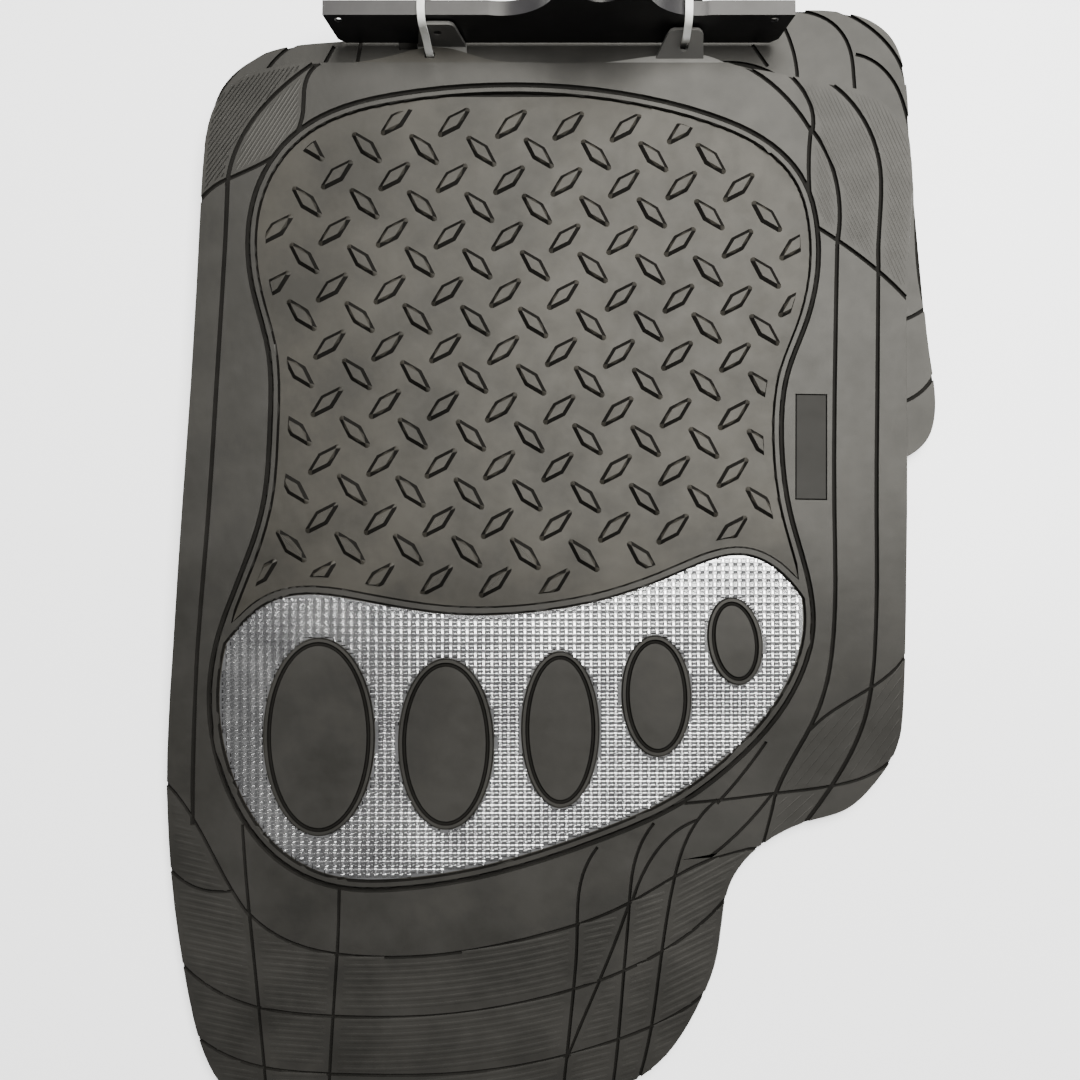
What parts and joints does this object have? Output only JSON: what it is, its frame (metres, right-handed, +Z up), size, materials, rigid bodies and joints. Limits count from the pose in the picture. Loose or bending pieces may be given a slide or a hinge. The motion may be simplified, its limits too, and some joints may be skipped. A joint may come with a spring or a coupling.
{
  "type": "floor mat set",
  "caption": "Moulded rubber car floor mats, front pair over rear pair, with raised panels, treads and foil heel inserts, tied to a plastic hanger bar.",
  "frame": {"origin": "middle of the front mats' top edge line between the tied tabs, at the underside of the lowest mat", "axes": "+X to the right, +Y towards the hanger, +Z up from the floor"},
  "size_m": [0.489, 0.7182, 0.105],
  "materials": {
    "rubber": "satin black moulded rubber",
    "rubber_border": "semi-gloss black moulded rubber",
    "foil": "embossed silver foil",
    "badge": "smooth black plate",
    "tie": "natural nylon",
    "hanger": "satin black plastic"
  },
  "bodies": {
    "rear_mats": {"driver_tab": "rubber", "driver_lobe": "rubber", "passenger_tab": "rubber", "rear_lower_sheet": "rubber", "rear_lower_panels": "rubber_border", "rear_lower_ring": "rubber_border", "rear_lower_treads": "rubber", "rear_upper_sheet": "rubber", "rear_upper_panels": "rubber_border", "rear_upper_ring": "rubber_border", "rear_upper_treads": "rubber", "left_tie": "tie", "right_tie": "tie", "rear_lower_tabs": "rubber", "rear_upper_tabs": "rubber"},
    "hanger": {"hanger": "hanger"},
    "passenger_mat": {"passenger_sheet": "rubber", "passenger_panels": "rubber_border", "passenger_ring": "rubber_border", "passenger_treads": "rubber", "passenger_foil": "foil", "passenger_heel_pads": "rubber_border", "passenger_badge": "badge"},
    "driver_mat": {"driver_sheet": "rubber", "driver_panels": "rubber_border", "driver_ring": "rubber_border", "driver_treads": "rubber", "driver_foil": "foil", "driver_heel_pads": "rubber_border", "driver_badge": "badge"}
  },
  "joints": [
    {"name": "hanger_tilt", "type": "hinge", "parent": "rear_mats", "child": "hanger", "pos_m": [0, 0.017, 0.0123], "axis": [1, 0, 0], "range_deg": [-3, 1.5]},
    {"name": "passenger_lift", "type": "hinge", "parent": "rear_mats", "child": "passenger_mat", "pos_m": [0, 0.00015, 0.0165], "axis": [-1, 0, 0], "range_deg": [0, 30]},
    {"name": "driver_lift", "type": "hinge", "parent": "passenger_mat", "child": "driver_mat", "pos_m": [0, 0.00015, 0.0165], "axis": [-1, 0, 0], "range_deg": [0, 45]}
  ]
}
